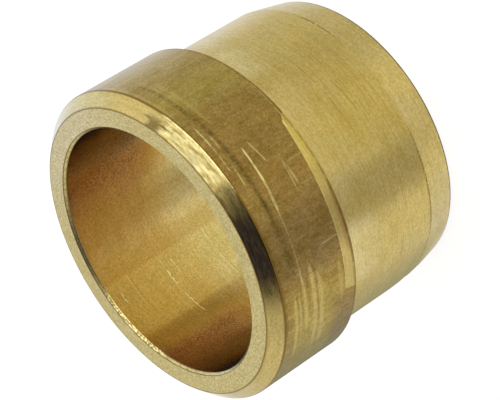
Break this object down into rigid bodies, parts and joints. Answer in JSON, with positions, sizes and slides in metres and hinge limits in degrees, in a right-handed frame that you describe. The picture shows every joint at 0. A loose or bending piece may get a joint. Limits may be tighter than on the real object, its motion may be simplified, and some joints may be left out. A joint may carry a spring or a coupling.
{
  "type": "compression olive",
  "caption": "Turned brass compression ring with a bevelled collar, a plain body and a tapered nose, which seals a tube in a cone fitting under a nut.",
  "frame": {"origin": "centre of the nose end, on which the ring stands", "axes": "+Z along the tube's axis, from the nose towards the collar"},
  "size_m": [0.013, 0.013, 0.01],
  "materials": {
    "brass": "satin turned brass, with a browner drawn-bar skin on the collar"
  },
  "bodies": {
    "root": {"compression_olive": "brass"}
  },
  "joints": []
}
